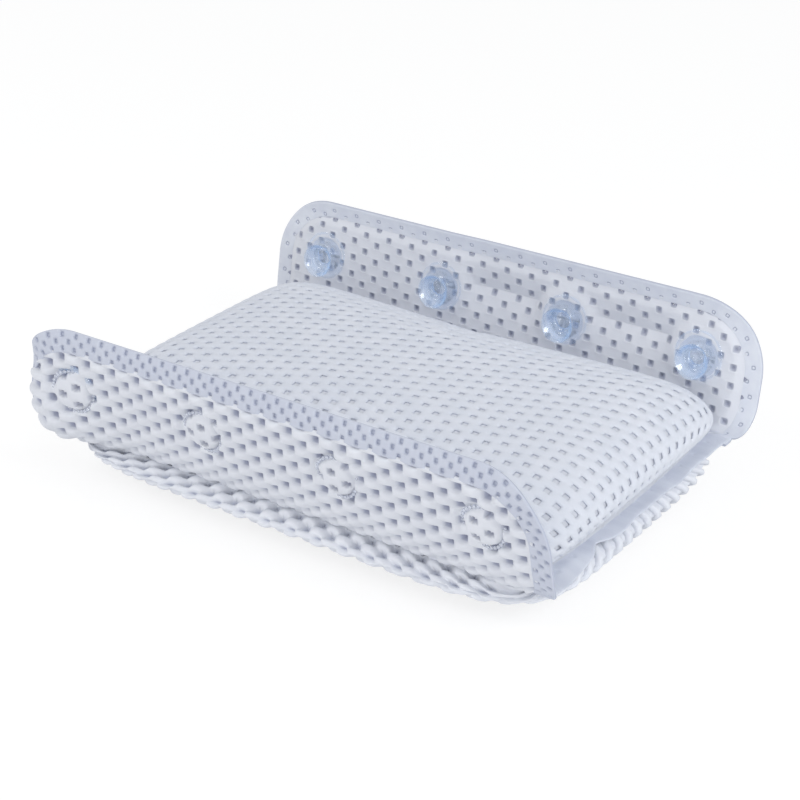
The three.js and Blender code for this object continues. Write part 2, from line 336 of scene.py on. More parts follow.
def mark_painted_shade(piece, share):
    painted_shade = piece.data.attributes.new("painted_shade", "FLOAT", "POINT")
    painted_shade.data.foreach_set("value", np.ascontiguousarray(share, dtype=np.float32))


print("tools for round bars ready")

# %% [markdown]
# A flap is one sheet that bends: it leaves the pillow flat, turns up at the fold, leans out at its
# foot and curls in again at its free edge. Its section is drawn once as a table of the lean at each
# distance from the fold, and summing small steps along it gives the curve. The ends curl on an arc,
# and the rear flap has a crease between its cups, where it has been folded over.

# %% Shape of a flap
CURL_START = 148 * MM
CURL_RUN = 12 * MM
CREASE_AT = 47 * MM
CREASE_WIDTH = 12 * MM
LEAN_STOPS = np.array([-14, -2.5, 1.5, 24, 57, 76, 80]) * MM


def flap_table(flap):
    foot, seat, tip = flap["lean"]
    leans = np.radians([90, 90, foot, seat, seat, tip, tip])
    step = 0.1 * MM
    s = np.arange(LEAN_STOPS[0], LEAN_STOPS[-1], step)
    lean = np.interp(s, LEAN_STOPS, leans)
    out = np.cumsum(np.sin(lean)) * step
    rise = np.cumsum(np.cos(lean)) * step
    zero = np.searchsorted(s, 0)
    return {**flap, "s": s, "tilt": lean, "out": out - out[zero], "rise": rise - rise[zero]}


def cup_distances(x, s):
    return np.array([np.hypot(x - place, s - CUP_SEAT) for place in CUP_PLACES])


def crease(table, x, s):
    run = ramp(x, -40, 30) * (1 - ramp(x, 118, 25))
    clear = ramp(cup_distances(x, s).min(axis=0), 15, 8)
    return table["crease"] * run * clear * np.exp(-np.abs(s - CREASE_AT) / CREASE_WIDTH)


def flare(table, x, s):
    return table["flare"] * ramp(-x, 95, 65) * ramp(s, -6, 18) * (1 - ramp(s, 25, 40))


def curl_ends(table, x, s, h):
    left, right = np.radians(table["curl"])
    held = ramp(s, 0, 12) * (1 - 0.3 * ramp(s, 45, 20))
    turn = np.where(x < 0, left, right) * held + 1e-6
    flat = np.abs(x) + np.where(x < 0, *table["grow"]) * ramp(np.abs(x), 90, 75)
    far = np.clip(flat - CURL_START, 0, None)
    arc = np.minimum(far, CURL_RUN)
    angle = turn * arc / CURL_RUN
    radius = CURL_RUN / turn
    along = flat - far + radius * np.sin(angle) + (far - arc) * np.cos(angle) + h * np.sin(angle)
    inward = radius * (1 - np.cos(angle)) + (far - arc) * np.sin(angle)
    return np.sign(x) * along, h * np.cos(angle) - inward


def on_flap(table, x, s, h):
    side = table["side"]
    x = -side * x
    along, h = curl_ends(table, x, s, h + crease(table, x, s) + flare(table, x, s))
    tilt = np.interp(s, table["s"], table["tilt"])
    out = np.interp(s, table["s"], table["out"]) + h * np.cos(tilt)
    rise = np.interp(s, table["s"], table["rise"]) - h * np.sin(tilt)
    return np.stack([along, side * (FOLD_SPACING / 2 + out), FOLD_HEIGHT + rise], axis=1)


def flap_half_length(s, inset):
    foot = np.clip((FOOT_RADIUS - s) / FOOT_RADIUS, 0, 1)
    foot_in = (SHEET_LENGTH - PILLOW_LENGTH) / 2 * (1 - np.sqrt(1 - foot * foot))
    above = np.clip(s - (FLAP_HEIGHT - CORNER_RADIUS), 0, None)
    radius = CORNER_RADIUS - inset
    corner_in = radius - np.sqrt(np.clip(radius * radius - above * above, 0, None))
    return SHEET_LENGTH / 2 - inset - foot_in - corner_in


tables = {name: flap_table(flap) for name, flap in FLAPS.items()}
print("flap tips", {name: round(float(t["rise"].max()), 4) for name, t in tables.items()})

# %% [markdown]
# The flaps are cut from the coarse mesh, whose outer side is a field of puffy cobbles and whose
# inner side is flat. The mesh is pressed thin along the border and the fold. Where a cup is welded
# on, a groove is pressed into the cobbles, and the mesh inside it is left as a low smooth button.
# The heights of a tile are millimetres, row by row from the hole outwards, and so are the levels that
# bound the narrow waist of a hole and the part of it that is painted with shade.

# %% Weave the two flaps
COBBLE_LENGTH = 16.5 * MM
COBBLE_ROW = 5.2 * MM
COBBLE_HOLE = (3.8 * MM, 4.0 * MM)
COBBLE_LIP = 0.8 * MM
COBBLES = {
    "x": tile_lines(COBBLE_LENGTH, COBBLE_HOLE[0], COBBLE_LIP),
    "y": (0, COBBLE_HOLE[1] / 2, COBBLE_ROW / 2),
    "heights": (
        (0, 0.9, 2.9, 4.75, 5.1, 5.3),
        (0.9, 0.8, 2.7, 4.4, 4.7, 4.8),
        (3.5, 3.2, 3.1, 3.1, 3.2, 3.5),
    ),
    "waist": (1.2, 0.7, 0.3, -0.5),
    # Levels between which the hole walls are painted with shade.
    "painted_shade": (2.5, 0.8, 0.2, -0.9),
    "shut": (-4 * MM, 16 * MM),
    "lean": 1.9 * MM,
}
COBBLE_WALLS = ((0.5, 0), (0.2, -1.4 * MM))
COBBLE_WAIST = 0.94
SHEET_DEPTH = 2.4 * MM
PRESSED_SHARE = 0.24
UNDER_BORDER = 2.5 * MM
RING_RADIUS = 11.8 * MM
GROOVE_WIDTH = 1.9 * MM
GROOVE_SHARE = 0.72
BUTTON_TOP = 5.4 * MM
BUTTON_DROP = 1.6 * MM
BUTTON_SHARE = 0.85
BUTTON_WAIST = 0.45
BEAD_ANGLE = math.radians(130)
FLAP_COLUMNS = 20
FLAP_ROWS = 14
FLAP_FIRST_ROW = -0.9 * COBBLE_ROW


def border_distance(table, x, s):
    ends = flap_half_length(np.maximum(s, 0), table["border"]) - np.abs(x)
    top = FLAP_HEIGHT - table["border"] - s
    return np.minimum(ends, top)


def bead_show(table, x, s):
    nearest = cup_distances(x, s).argmin(axis=0)
    angle = np.arctan2(s - CUP_SEAT, table["side"] * (np.array(CUP_PLACES)[nearest] - x))
    return 0.5 + 0.5 * np.cos(2 * (angle - BEAD_ANGLE))


def pressed_mesh(table):
    def place(x, s, h):
        rim = border_distance(table, x, s)
        press = np.where(h < 0, ramp(rim, -1.4, 7), 1) * ramp(rim, -1.4, 1.6) * ramp(s, -4, 3)
        radius = cup_distances(x, s).min(axis=0)
        inside = ramp(RING_RADIUS - radius, -0.75, 2.5)
        narrow = BUTTON_WAIST * inside * (h > 0.6 * MM)
        waist = np.maximum(COBBLE_WAIST * between(h, COBBLES["waist"]), narrow)
        x, s = draw_in(COBBLES, FLAP_COLUMNS, FLAP_FIRST_ROW, x, s, waist)
        x = x - lean_over(COBBLES, h) * press * (1 - inside)
        groove = GROOVE_SHARE * np.exp(-(((radius - RING_RADIUS) / GROOVE_WIDTH) ** 2))
        groove = groove * (0.5 + 0.5 * bead_show(table, x, s))
        button = BUTTON_TOP - BUTTON_DROP * (radius / RING_RADIUS) ** 2
        cobbled = h + (button - h) * BUTTON_SHARE * inside * ramp(h, 1, 1)
        full = np.where(h < 0, h * (1 - inside), cobbled * (1 - groove)) - SHEET_DEPTH
        thin = PRESSED_SHARE * (h - SHEET_DEPTH)
        return on_flap(table, x, s, thin + (full - thin) * press)

    return place


def weave_flap(name):
    net = weave(COBBLES, FLAP_COLUMNS, FLAP_ROWS, FLAP_FIRST_ROW)
    net.name = name + "_flap_cobbles"
    table = tables[name]
    cut_away(net, lambda x, s, z: border_distance(table, np.array(x), np.array(s)) < -UNDER_BORDER)
    thicken(net, COBBLE_WALLS)
    soften(net, 1)
    # The walls deep in the holes are painted with shade.
    mark_painted_shade(net, between(lay_on(net, pressed_mesh(table)), COBBLES["painted_shade"]))
    print(net.name, len(net.data.polygons), "faces")
    return net


flap_nets = {name: weave_flap(name) for name in FLAPS}

# %% [markdown]
# Round its ends and free edge a flap is pressed flat. The pressing leaves three staggered rows of
# small dents on the outer side and two staggered rows of squares on the inner side, each a fine sunk
# frame. The dents are painted with shade, and the whole outer side is painted darker, as painted
# shade. The strip is a flat plate first, cut for dents and squares, and then it is laid along the
# flap's outline.

# %% Press the borders of the flaps
DENT_STEP = 8.25 * MM
DENT_HALF = 0.4 * MM
SQUARE_HALF = 1.25 * MM
# Levels between which the dents are painted with shade.
DENT_PAINTED_SHADE = (1.5, 0.8, 0.5, 0.2)
DENT_ROWS = (1.5 * MM, 2.2 * MM, 5.2 * MM)
DENT_RIM = 0.1 * MM
DENT_DEPTH = 1.7 * MM
FRAME_RIM = 0.25 * MM
FRAME_WIDTH = 0.45 * MM
FRAME_DEPTH = 0.8 * MM
# How much the whole outer side of a border is painted darker, as painted shade.
OUTER_PAINTED_SHADE = 0.49
BORDER_HALF = 1.0 * MM
BORDER_FOOT = -8 * MM


def dented(x, y, z):
    phase = (x / DENT_STEP + 0.5) % 1 - 0.5
    outer_row = abs(phase) < 0.13 and DENT_ROWS[1] < abs(y) < DENT_ROWS[2]
    middle_row = abs(phase) > 0.37 and abs(y) < DENT_ROWS[0]
    return z > BORDER_HALF and (outer_row or middle_row)


def squared(x, y):
    phase = (x / (2 * DENT_STEP) + 0.5) % 1 - 0.5
    near_row = abs(phase) < 0.07 and abs(y) < DENT_ROWS[0]
    far_row = abs(phase) > 0.43 and DENT_ROWS[1] < y < DENT_ROWS[2]
    return near_row or far_row


def inner_squared(x, y, z):
    return z < SNAP and squared(x, y)


def framed(x, y, z):
    return abs(z - FRAME_DEPTH) < SNAP and squared(x, y)


def border_stations(width):
    foot = np.linspace(0, 1, 60)[1:] ** 2 * FOOT_RADIUS
    end = np.linspace(FOOT_RADIUS, FLAP_HEIGHT - CORNER_RADIUS, 12)[1:]
    rise = np.concatenate([np.linspace(BORDER_FOOT, 0, 9), foot, end])
    outer = np.stack([flap_half_length(rise, 0), rise], axis=1)
    inner = outer - [width, 0]
    centre = np.array([SHEET_LENGTH / 2, FLAP_HEIGHT]) - CORNER_RADIUS
    angle = np.linspace(0, math.pi / 2, 40)[1:]
    turn = np.stack([np.cos(angle), np.sin(angle)], axis=1)
    outer = np.concatenate([outer, centre + CORNER_RADIUS * turn])
    inner = np.concatenate([inner, centre + (CORNER_RADIUS - width) * turn])
    outer, inner = [np.concatenate([line, line[::-1] * [-1, 1]]) for line in (outer, inner)]
    steps = np.linalg.norm(np.diff((outer + inner) / 2, axis=0), axis=1)
    return np.concatenate([[0], np.cumsum(steps)]), outer, inner


def press_border(name):
    along, outer, inner = border_stations(tables[name]["border"])
    count = round(along[-1] / DENT_STEP)
    x_cuts = [x for v in (DENT_HALF, SQUARE_HALF) for u in (v, DENT_STEP / 2 - v) for x in (-u, u)]
    y_cuts = [y for v in DENT_ROWS for y in (-v, v)]
    strip = cut_plate(DENT_STEP, BORDER_WIDTH, x_cuts, y_cuts)
    strip.name = name + "_flap_pressed_border"
    repeat(strip, [(count, (DENT_STEP, 0, 0))])
    give_depth(strip, 2 * BORDER_HALF)
    press_in(strip, dented, DENT_RIM, -DENT_DEPTH)
    press_in(strip, inner_squared, FRAME_RIM, FRAME_DEPTH)
    press_in(strip, framed, FRAME_WIDTH, -FRAME_DEPTH)
    soften(strip, 1)

    def place(x, y, h):
        a = (x / DENT_STEP + 0.5) / count * along[-1]
        share = y / BORDER_WIDTH + 0.5
        edge, seam = [[np.interp(a, along, line[:, k]) for k in (0, 1)] for line in (outer, inner)]
        x, s = [start + (stop - start) * share for start, stop in zip(edge, seam)]
        return on_flap(tables[name], x, s, h - BORDER_HALF)

    h = lay_on(strip, place)
    # Painted shade: darkest in the dents, with a lighter darkening over the whole outer side.
    mark_painted_shade(strip, np.maximum(between(h, DENT_PAINTED_SHADE), OUTER_PAINTED_SHADE * ramp(h, 1.2, 0.5)))
    print(strip.name, len(strip.data.polygons), "faces")
    return strip


flap_borders = {name: press_border(name) for name in FLAPS}

# %% [markdown]
# The pad is two panels, a crowned one on top and a cobbled one below. The larger its fullness, the
# flatter a panel stays before it turns down, and the crown's right end is the fuller one.

# %% Surfaces of the pad
PAD_DEPTH = FOLD_SPACING / 2 - 4.5 * MM
PAD_LENGTH = PILLOW_LENGTH / 2 - BORDER_WIDTH - 1.5 * MM
RIM_GAP = 1.2 * MM
CROWN_FULLNESS = {"right": 16, "left": 11, "sides": 5}
CROWN_BULGE = {"right": 14 * MM, "left": 7 * MM}
CROWN_ROUND = 0.35
FACE_REACH = 3.5 * MM
FACE_FULLNESS = {"ends": 9, "sides": 4}
FACE_BULGE = {"ends": 17 * MM, "sides": 19 * MM}
FACE_FLAT = 1.2


def swell(share, fullness, power):
    return np.clip(1 - np.abs(share) ** fullness, 0, None) ** power


def crown_surface(u, v):
    fullness = np.where(u > 0, CROWN_FULLNESS["right"], CROWN_FULLNESS["left"])
    full = swell(u, fullness, CROWN_ROUND) * swell(v, CROWN_FULLNESS["sides"], CROWN_ROUND)
    bulge = np.where(u > 0, CROWN_BULGE["right"], CROWN_BULGE["left"])
    x = u * PAD_LENGTH + bulge * 4 * full * (1 - full) * u**5 * swell(v, 9, 0.5)
    rise = (CROWN_HEIGHT - FOLD_HEIGHT - RIM_GAP) * full
    return np.stack([x, v * PAD_DEPTH, FOLD_HEIGHT + RIM_GAP + rise], axis=-1)


def face_surface(u, v):
    full = swell(u, FACE_FULLNESS["ends"], 0.5) * swell(v, FACE_FULLNESS["sides"], 0.5)
    full = np.minimum(1, FACE_FLAT * full)
    side = 4 * full * (1 - full)
    x = u * PAD_LENGTH + FACE_BULGE["ends"] * side * u**5 * swell(v, 8, 0.5)
    y = v * PAD_DEPTH + FACE_REACH * v**9 + FACE_BULGE["sides"] * side * v**5 * swell(u, 7, 0.5)
    return np.stack([x, y, (FOLD_HEIGHT - RIM_GAP) * (1 - full)], axis=-1)


print("pad inside its welds", [round(2 * v, 4) for v in (PAD_LENGTH, PAD_DEPTH)])

# %% [markdown]
# Each panel becomes a grid of points on its surface, spaced evenly along it, so that a sheet laid over
# it is hardly stretched. Reading between the grid's points with a cubic keeps the surface smooth.

# %% Grids on the surfaces
def dense_at_ends(count):
    line = np.linspace(-1, 1, 4 * count + 1)
    return np.sign(line) * (1 - (1 - np.abs(line)) ** 2)


def even_grid(surface, columns, rows):
    u, v = np.meshgrid(dense_at_ends(columns), dense_at_ends(rows))
    for turn in range(6):
        points = surface(u, v)
        if turn % 2:
            points = points.transpose(1, 0, 2)
            u, v = u.T, v.T
        steps = np.linalg.norm(np.diff(points, axis=1), axis=2)
        far = np.concatenate([np.zeros((len(steps), 1)), np.cumsum(steps, axis=1)], axis=1)
        even = np.linspace(0, 1, far.shape[1])
        u = np.stack([np.interp(even, f / f[-1], a) for f, a in zip(far, u)])
        v = np.stack([np.interp(even, f / f[-1], a) for f, a in zip(far, v)])
        if turn % 2:
            u, v = u.T, v.T
    return surface(u[::4, ::4], v[::4, ::4])


def cubic_weights(t, count):
    k = np.clip(np.floor(t).astype(int), 0, count - 2)
    f = t - k
    weights = [
        -0.5 * f + f**2 - 0.5 * f**3,
        1 - 2.5 * f**2 + 1.5 * f**3,
        0.5 * f + 2 * f**2 - 1.5 * f**3,
        -0.5 * f**2 + 0.5 * f**3,
    ]
    return [np.clip(k + m, 0, count - 1) for m in (-1, 0, 1, 2)], weights


def read_grid(grid, a, b):
    rows, columns = grid.shape[:2]
    row_at, row_weights = cubic_weights(b * (rows - 1), rows)
    column_at, column_weights = cubic_weights(a * (columns - 1), columns)
    total = 0
    for i, p in zip(row_at, row_weights):
        for j, q in zip(column_at, column_weights):
            total = total + grid[i, j] * (p * q)[:, None]
    return total


def grid_normals(grid):
    across = np.gradient(grid, axis=1)
    along = np.gradient(grid, axis=0)
    normal = np.cross(across, along)
    return normal / np.linalg.norm(normal, axis=2, keepdims=True)


def path_length(line):
    return round(float(np.linalg.norm(np.diff(line, axis=0), axis=1).sum()), 4)


GRID_CELLS = (84, 60)
crown_grid = even_grid(crown_surface, *GRID_CELLS)
face_grid = even_grid(face_surface, *GRID_CELLS)[:, ::-1]
for label, grid in (("crown", crown_grid), ("face", face_grid)):
    middles = (grid[len(grid) // 2], grid[:, grid.shape[1] // 2])
    print(label, "sheet over the middle", [path_length(line) for line in middles])

# %% [markdown]
# The crown is fabric over a soft filling, so its form is finished by Cloth with pressure: the seam
# is pinned, the sheet swells for twenty frames, and each point may move a few millimetres only,
# so the pad keeps the size of its solid.

# %% Inflate the crown
CLOTH_FRAMES = 20
CROWN_PRESSURE = 1.0
CROWN_CAP = 3 * MM


def inflate(grid, pressure, cap):
    rows, columns = grid.shape[:2]
    bpy.ops.mesh.primitive_grid_add(x_subdivisions=columns - 1, y_subdivisions=rows - 1, size=1)
    pad = bpy.context.object
    x, y, h = read_points(pad.data).T
    i = np.rint((x + 0.5) * (columns - 1)).astype(int)
    j = np.rint((y + 0.5) * (rows - 1)).astype(int)
    write_points(pad.data, grid[j, i])
    seam = pad.vertex_groups.new(name="seam")
    rim = (i == 0) | (i == columns - 1) | (j == 0) | (j == rows - 1)
    seam.add([int(k) for k in np.flatnonzero(rim)], 1.0, "REPLACE")
    settings = pad.modifiers.new("inflate", "CLOTH").settings
    settings.vertex_group_mass = "seam"
    settings.use_pressure = True
    settings.uniform_pressure_force = pressure
    settings.effector_weights.gravity = 0
    settings.tension_stiffness = 25
    settings.compression_stiffness = 25
    settings.shear_stiffness = 10
    settings.bending_stiffness = 2
    for number in range(1, CLOTH_FRAMES + 1):
        bpy.context.scene.frame_set(number)
    shaped = pad.evaluated_get(bpy.context.evaluated_depsgraph_get()).data
    move = np.zeros_like(grid)
    move[j, i] = read_points(shaped) - grid[j, i]
    size = np.linalg.norm(move, axis=2, keepdims=True)
    largest = float(size.max())
    print("inflated, largest move", round(largest, 4), "kept", round(min(cap, largest), 4))
    bpy.context.scene.frame_set(1)
    bpy.data.objects.remove(pad)
    return grid + move * np.minimum(1, cap / np.maximum(size, 1e-9))


crown_grid = inflate(crown_grid, CROWN_PRESSURE, CROWN_CAP)

# %% [markdown]
# The cobbled face is the same mesh as the flaps, and at its short ends the last cobbles run out in
# ribs. A pair of ribs is a plate of its own, repeated along the end and merged with the net.

# %% Run the cobbles out in ribs
RIB_STARTS = {
    -1: [levels[3] for levels in COBBLES["heights"]],
    1: [levels[2] for levels in COBBLES["heights"]],
}
RIB_SHOULDER = 2.5 * MM
RIB_SNAP = 0.2 * MM
RIB_ENDS = {-1: (5.2, 5.0, 3.0), 1: (2.3, 2.3, 2.6)}


def rib_ends(panel, net, rows, start, stop):
    length, row = stop - start, 2 * net["y"][-1]
    ends = (-1, 1)
    lines = [side * row / 2 + turn * y for side in ends for y in net["y"][:2] for turn in ends]
    for side in ends:
        rib = cut_plate(length, 2 * row, (RIB_SHOULDER - length / 2, 0), sorted({0, *lines}))
        for parity in ends:
            for line, first, last in zip(net["y"], RIB_STARTS[parity], RIB_ENDS[parity]):
                for at_start, level in ((True, first), (False, last)):
                    shift(
                        rib,
                        lambda x, y, z: z == 0
                        and abs(abs(y - parity * row / 2) - line) < SNAP
                        and (x < SNAP - length / 2) == at_start,
                        (0, 0, level * MM),
                    )
        repeat(rib, [(rows // 2, (0, 2 * row, 0))])
        pick(rib, everything)
        bpy.ops.transform.resize(value=(side, 1, 1), center_override=(0, 0, 0))
        bpy.ops.transform.translate(value=(side * (start + stop) / 2, row, 0))
        leave()
        only(panel)
        rib.select_set(True)
        bpy.ops.object.join()
    merge_points(panel, RIB_SNAP)


print("ribs start", RIB_STARTS, "and end", RIB_ENDS)

# %% [markdown]
# The crown is a finer foam mesh than the flaps, laid with its flat side out. A tile of its own
# makes it, with smaller holes, soft lips round them and hardly any swell. Both panels are pressed
# thinner at the rim, where they are welded, and their holes close up towards it.

# %% Weave the crown and the cobbled face
def weave_panel(name, grid, net, columns, rows, depth, rim, walls, ribs):
    panel = weave(net, columns, rows, 0)
    panel.name = name
    wide = 2 * net["x"][-1] * columns
    deep = 2 * net["y"][-1] * rows
    cut_away(panel, lambda x, y, z: abs(x) > wide / 2 - ribs or y > deep)
    if ribs:
        rib_ends(panel, net, rows, wide / 2 - ribs, wide / 2)
    thicken(panel, walls)
    normals = grid_normals(grid)
    rim_share, rim_width = rim

    def place(x, y, h):
        inset = np.minimum(wide / 2 - np.abs(x), np.minimum(y, deep - y))
        shut_at, open_at = net["shut"]
        shut = 1 - ease((inset - shut_at) / (open_at - shut_at))
        waist = COBBLE_WAIST * between(h, net["waist"])
        x, y = draw_in(net, columns, 0, x, y, np.maximum(shut, waist))
        press = rim_share + (1 - rim_share) * ease(inset / rim_width)
        x = x + lean_over(net, h) * ramp(inset, 0, 12)
        a = np.clip(x / wide + 0.5, 0, 1)
        b = np.clip(y / deep, 0, 1)
        normal = read_grid(normals, a, b)
        normal = normal / np.linalg.norm(normal, axis=1, keepdims=True)
        return read_grid(grid, a, b) + normal * ((h - depth) * press)[:, None]

    return panel, place


CROWN_LENGTH = 17 * MM
CROWN_ROW = 4.25 * MM
CROWN_HOLE = (3.3 * MM, 3.3 * MM)
CROWN_LIP = 1.4 * MM
CROWN_MESH = {
    "x": tile_lines(CROWN_LENGTH, CROWN_HOLE[0], CROWN_LIP),
    "y": (0, CROWN_HOLE[1] / 2, CROWN_ROW / 2),
    "heights": (
        (0, 1.5, 2.3, 2.4, 2.4, 2.4),
        (1.5, 1.4, 2.15, 2.3, 2.15, 2.1),
        (1.9, 1.9, 2.2, 2.2, 1.9, 1.9),
    ),
    "waist": (-8, -9, -9, -10),
    # Levels between which the crown's hole walls are painted with shade.
    "painted_shade": (1.5, 0.3, -9, -10),
    "shut": (1 * MM, 4.5 * MM),
    "lean": 0,
}
CROWN_CUT = {
    "columns": 20, "rows": 58, "depth": 2.4 * MM, "rim": (0.3, 6 * MM),
    "walls": ((0, 0.7 * MM),), "ribs": 0,
}
FACE_CUT = {
    "columns": 19, "rows": 46, "depth": 5 * MM, "rim": (0.6, 3 * MM),
    "walls": COBBLE_WALLS, "ribs": 1.5 * COBBLE_LENGTH - COBBLE_HOLE[0] / 2 - COBBLE_LIP,
}
crown_net, crown_place = weave_panel("crown_panel", crown_grid, CROWN_MESH, **CROWN_CUT)
# Both panels get painted shade deep in their holes.
mark_painted_shade(crown_net, between(lay_on(crown_net, crown_place), CROWN_MESH["painted_shade"]))
face_net, face_place = weave_panel("cobbled_face", face_grid, COBBLES, **FACE_CUT)
soften(face_net, 1)
mark_painted_shade(face_net, between(lay_on(face_net, face_place), COBBLES["painted_shade"]))
print("panels", {net.name: len(net.data.polygons) for net in (crown_net, face_net)})

# %% [markdown]
# Inside the pad is a loose fibre filling. Only glimpses of it show through the holes, so it is one
# soft form: a grid for its upper side, extruded down to its lower side, just inside both panels.

# %% Fill the pad
BELOW_CROWN = 1.6 * MM
ABOVE_FACE = 6.4 * MM
FILL_MARGIN = 0.02


def stuff_pad():
    bpy.ops.mesh.primitive_grid_add(x_subdivisions=60, y_subdivisions=44, size=2)
    pad = bpy.context.object
    pad.name = "fibre_filling"
    give_depth(pad, 1)
    crown_in = crown_grid - grid_normals(crown_grid) * BELOW_CROWN
    face_in = face_grid - grid_normals(face_grid) * ABOVE_FACE

    def place(x, y, h):
        a, b = [np.clip(v / 2 + 0.5, FILL_MARGIN, 1 - FILL_MARGIN) for v in (x, y)]
        upper = read_grid(crown_in, a, b)
        lower = read_grid(face_in, 1 - a, b)
        return np.where((h > 0.5)[:, None], upper, lower)

    lay_on(pad, place)
    only(pad)
    bpy.ops.object.shade_smooth()
    return pad


filling = stuff_pad()
print("filling", len(filling.data.polygons), "faces")

# %% [markdown]
# Along the short sides the two panels are welded into a flat strip. Its outer edge follows the
# cobbles a little and dips once near a corner, and its upper side has a row of faint squares.

# %% Weld the short sides
STRIP_COUNT = 24
STRIP_HALF = 97 * MM
STRIP_DEPTH = 1.8 * MM
STRIP_WIDTH = BORDER_WIDTH + 3 * MM
STRIP_SQUARE = (1.1 * MM, 1.3 * MM)
STRIP_RIM = 0.3 * MM
STRIP_PRESS = 0.6 * MM
STRIP_DIP_AT = -43 * MM
STRIP_DIP_WIDTH = 7 * MM


def ripple(run, height, length, phase=0):
    return height * MM * np.sin(run / (length * MM) * 2 * math.pi + phase)


def weld_side(name, side):
    step = 2 * STRIP_HALF / STRIP_COUNT
    square_x, square_y = STRIP_SQUARE
    strip = cut_plate(step, STRIP_WIDTH, (-square_x, square_x), (-square_y, square_y))
    strip.name = name
    repeat(strip, [(STRIP_COUNT, (step, 0, 0))])
    give_depth(strip, STRIP_DEPTH)

    def squares(x, y, z):
        phase = (x / (2 * step) + 0.5) % 1 - 0.5
        return z > 0.95 * STRIP_DEPTH and abs(phase) < 0.05 and abs(y) < square_y

    press_in(strip, squares, STRIP_RIM, -STRIP_PRESS)
    soften(strip, 2)

    def place(x, y, h):
        run = ((x / step + 0.5) / STRIP_COUNT * 2 - 1) * STRIP_HALF
        dip = np.exp(-(((run - STRIP_DIP_AT) / STRIP_DIP_WIDTH) ** 2))
        corner = ramp(STRIP_DIP_AT - run, 0, 48)
        seam = PAD_LENGTH - 3 * MM
        edge = PILLOW_LENGTH / 2 + ripple(run, 0.4, 31) + (3.5 * corner - 4 * dip - 0.8) * MM
        reach = seam + (edge - seam) * (0.5 - y / STRIP_WIDTH)
        droop = ripple(run, 0.6, 62, 1) - 2.5 * MM * np.sin(math.pi * corner)
        height = FOLD_HEIGHT - STRIP_DEPTH / 2 + h + droop * ramp(-y, 0, 7)
        return np.stack([side * reach, side * run, height], axis=1)

    lay_on(strip, place)
    return strip


side_strips = {"right": weld_side("right_side_strip", 1), "left": weld_side("left_side_strip", -1)}
print("side strips", {k: len(v.data.polygons) for k, v in side_strips.items()})

# %% [markdown]
# At each fold the layers are welded into a tongue that ends in a slim rolled bead, deep in the
# valley between pad and flap. Its section is one outline, extruded along the fold.

# %% Weld the folds
FOLD_SECTION = [(-7.5, -0.8), (-2.2, -0.8), (-1.4, -1.3), (-0.4, -1.3), (0.2, -0.6)]
FOLD_SECTION += [(0.2, 0.6), (-0.4, 1.3), (-1.4, 1.3), (-2.2, 0.8), (-7.5, 0.8)]


def weld_fold(name, side):
    bpy.ops.mesh.primitive_circle_add(vertices=len(FOLD_SECTION), radius=1, fill_type="NGON")
    bar = bpy.context.object
    bar.name = name
    for point, (y, z) in zip(bar.data.vertices, FOLD_SECTION):
        point.co = (-PAD_LENGTH, side * (FOLD_SPACING / 2 + y * MM), FOLD_HEIGHT + z * MM)
    pick(bar, everything, "FACE")
    extrude((2 * PAD_LENGTH, 0, 0))
    face_outwards()
    bpy.ops.object.shade_smooth_by_angle(angle=math.radians(50))
    return bar


fold_bars = {name: weld_fold(name + "_fold_bead", flap["side"]) for name, flap in FLAPS.items()}
print("fold beads", list(fold_bars))

# %% [markdown]
# A suction cup is turned, so one profile, in millimetres, is drawn by extruding a point from place to
# place and then spun round the cup's axis: a flat base, a neck, and a thin bell with two fine steps and
# a nub. The cup is made once, and every seat gets a copy, whose soft bell sags a little on its base.

# %% Spin a suction cup
CUP_PROFILE = [
    (0, 0), (14.0, 0), (14.5, 0.25), (14.6, 0.7), (14.3, 1.1), (13.6, 1.2), (12.8, 0.85),
    (7.5, 0.9), (5.5, 1.1), (4.9, 1.7), (4.8, 3.2), (5.3, 3.9), (6.4, 4.8), (7.8, 6.2),
    (8.9, 7.8), (9.5, 9.2), (9.9, 9.5), (9.9, 9.9), (9.6, 10), (9.2, 9.7), (8.5, 8.3),
    (7.4, 6.9), (6.7, 6.3), (6.4, 6.45), (6.1, 6.05), (4.4, 5.6), (4.1, 5.8), (3.8, 5.5),
    (2.2, 5.4), (1.7, 5.6), (1.4, 6.5), (0.8, 6.8), (0, 6.85),
]
CUP_SAG = 2.2 * MM
CUP_LIFT = 1.0 * MM


def spin_cup():
    bpy.ops.mesh.primitive_plane_add(size=1 * MM, location=(0, 0, 0))
    cup = bpy.context.object
    pick(cup, everything)
    bpy.ops.mesh.merge(type="CENTER")
    select_all()
    for (r0, z0), (r1, z1) in zip(CUP_PROFILE, CUP_PROFILE[1:]):
        extrude(((r1 - r0) * MM, 0, (z1 - z0) * MM))
    select_all()
    bpy.ops.mesh.spin(steps=40, angle=2 * math.pi, center=(0, 0, 0), axis=(0, 0, 1))
    select_all()
    bpy.ops.mesh.remove_doubles(threshold=0.01 * MM)
    face_outwards()
    bpy.ops.object.shade_smooth_by_angle(angle=math.radians(60))
    return cup


def seat_cup(cup, table, x_seat):
    def place(x, y, z):
        tilt = float(np.interp(CUP_SEAT, table["s"], table["tilt"]))
        seat = on_flap(table, np.array([x_seat]), np.array([CUP_SEAT]), np.array([-SHEET_DEPTH]))[0]
        side = table["side"]
        along = np.array([side, 0, 0])
        up = np.array([0, side * math.sin(tilt), math.cos(tilt)])
        inward = np.array([0, -side * math.cos(tilt), math.sin(tilt)])
        y = y + CUP_LIFT - CUP_SAG * ramp(z, 1.5, 8)
        return seat + np.outer(x, along) + np.outer(y, up) + np.outer(z, inward)

    lay_on(cup, place)


